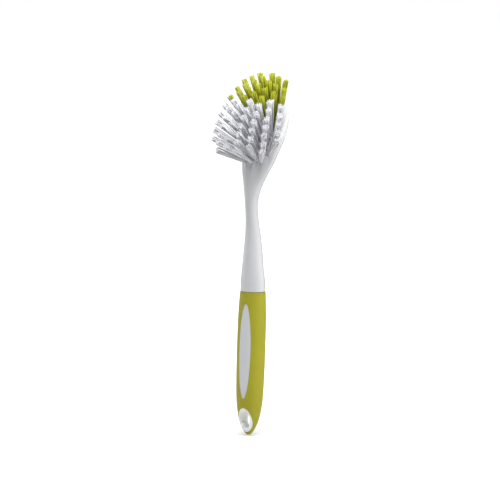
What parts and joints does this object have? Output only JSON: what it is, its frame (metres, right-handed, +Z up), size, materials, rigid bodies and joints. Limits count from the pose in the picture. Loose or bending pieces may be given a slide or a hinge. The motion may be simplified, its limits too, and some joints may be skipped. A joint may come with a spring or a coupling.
{
  "type": "dish brush",
  "caption": "Dish brush with a white moulded handle, a green soft grip with an oval window and hanging eye, and splayed white and green bristle tufts.",
  "frame": {"origin": "on the axis of the hanging hole, near the lower end of the handle", "axes": "+Z up along the handle from the hanging hole to the head, -Y to the front, where the bristles and the window are, +X to the right seen from the front"},
  "size_m": [0.0632, 0.0671, 0.278],
  "materials": {
    "white_handle_plastic": "satin",
    "green_grip_rubber": "matte",
    "white_bristle": "satin",
    "green_bristle": "satin",
    "staple_steel": "plain"
  },
  "bodies": {
    "root": {"green_tuft_staples": "staple_steel", "green_tufts_row07_step1": "green_bristle", "green_tufts_row07_step3": "green_bristle", "green_tufts_row08_step0": "green_bristle", "green_tufts_row08_step1": "green_bristle", "green_tufts_row08_step2": "green_bristle", "green_tufts_row08_step3": "green_bristle", "green_tufts_row09_step0": "green_bristle", "green_tufts_row09_step1": "green_bristle", "green_tufts_row09_step2": "green_bristle", "green_tufts_row09_step3": "green_bristle", "green_tufts_row10_step0": "green_bristle", "green_tufts_row10_step1": "green_bristle", "green_tufts_row10_step2": "green_bristle", "grip_sleeve": "green_grip_rubber", "handle_core": "white_handle_plastic", "white_tuft_staples": "staple_steel", "white_tufts_row01_step0": "white_bristle", "white_tufts_row01_step1": "white_bristle", "white_tufts_row01_step2": "white_bristle", "white_tufts_row02_step0": "white_bristle", "white_tufts_row02_step1": "white_bristle", "white_tufts_row02_step2": "white_bristle", "white_tufts_row02_step3": "white_bristle", "white_tufts_row03_step0": "white_bristle", "white_tufts_row03_step1": "white_bristle", "white_tufts_row03_step2": "white_bristle", "white_tufts_row03_step3": "white_bristle", "white_tufts_row04_step0": "white_bristle", "white_tufts_row04_step1": "white_bristle", "white_tufts_row04_step2": "white_bristle", "white_tufts_row04_step3": "white_bristle", "white_tufts_row05_step0": "white_bristle", "white_tufts_row05_step1": "white_bristle", "white_tufts_row05_step2": "white_bristle", "white_tufts_row05_step3": "white_bristle", "white_tufts_row06_step0": "white_bristle", "white_tufts_row06_step1": "white_bristle", "white_tufts_row06_step2": "white_bristle", "white_tufts_row06_step3": "white_bristle", "white_tufts_row07_step0": "white_bristle", "white_tufts_row07_step2": "white_bristle"}
  },
  "joints": []
}
